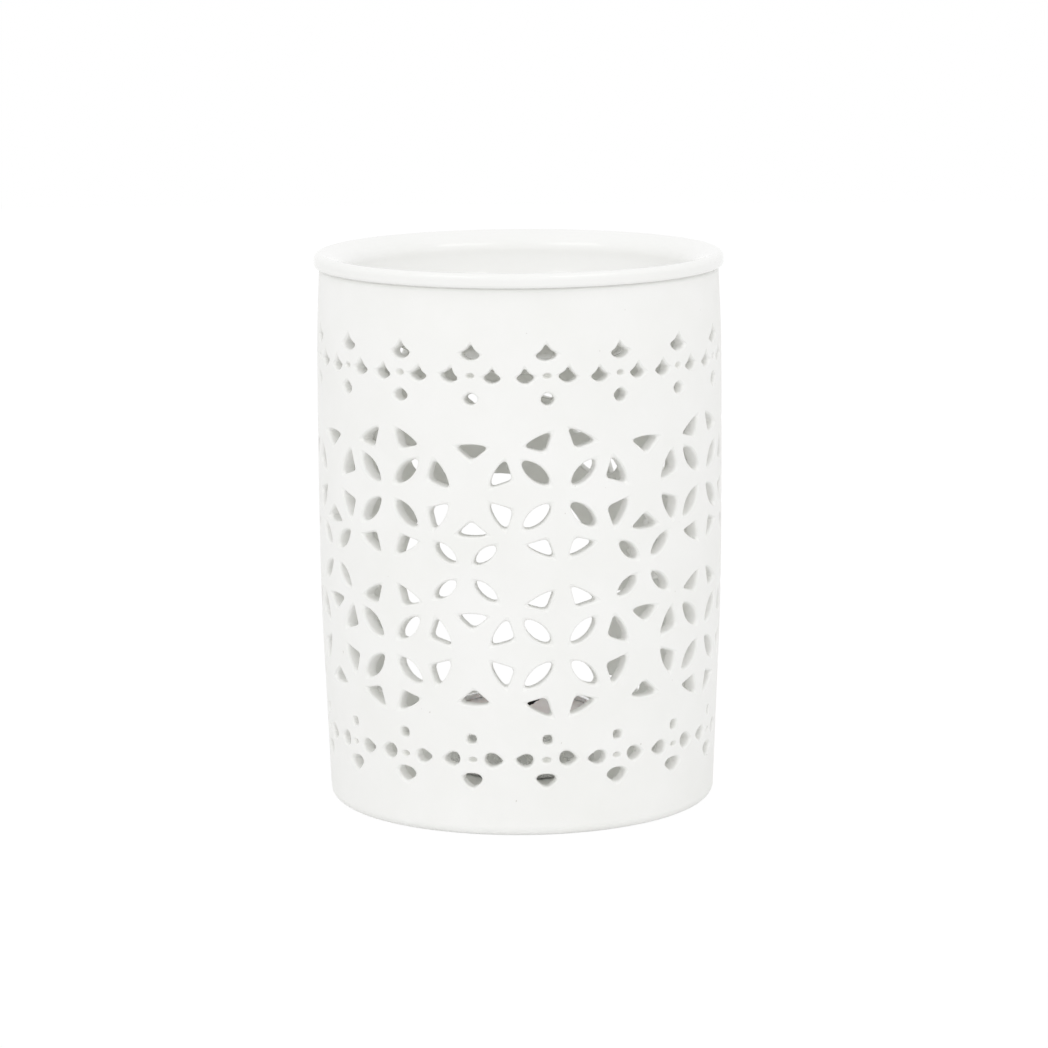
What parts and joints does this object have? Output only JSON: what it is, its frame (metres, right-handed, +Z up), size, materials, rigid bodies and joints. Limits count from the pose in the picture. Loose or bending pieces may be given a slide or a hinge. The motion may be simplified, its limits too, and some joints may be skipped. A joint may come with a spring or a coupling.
{
  "type": "essential oil burner",
  "caption": "Cylindrical pierced ceramic oil burner with a lift-off oil dish on top and a tealight inside that goes in by a round-arched opening at the back.",
  "frame": {"origin": "centre of the foot ring, on the surface that the burner stands on", "axes": "+Z up along the body's axis; the front, with the lattice facing the viewer, is towards -Y, and the arched opening is towards +Y, turned 8.5 degrees towards -X"},
  "size_m": [0.104, 0.104, 0.1406],
  "materials": {
    "bisque_porcelain": "matte white bisque",
    "glazed_porcelain": "glossy clear glaze over white",
    "cup_aluminium": "thin bright foil",
    "candle_wax": "translucent wax, satin",
    "charred_cotton": "charred braid",
    "tinned_steel": "pressed tinplate"
  },
  "bodies": {
    "burner": {"burner_body": "bisque_porcelain"},
    "dish": {"oil_dish": "glazed_porcelain"},
    "tealight": {"tealight_cup": "cup_aluminium", "tealight_wax": "candle_wax", "tealight_wick": "charred_cotton", "wick_sustainer": "tinned_steel"}
  },
  "joints": [
    {"name": "dish_lift", "type": "slide", "parent": "burner", "child": "dish", "axis": [0, 0, 1], "range_m": [0, 0.045]},
    {"name": "tealight_out", "type": "slide", "parent": "burner", "child": "tealight", "axis": [-0.135, 0.9035, 0.4067], "range_m": [0, 0.082]}
  ]
}
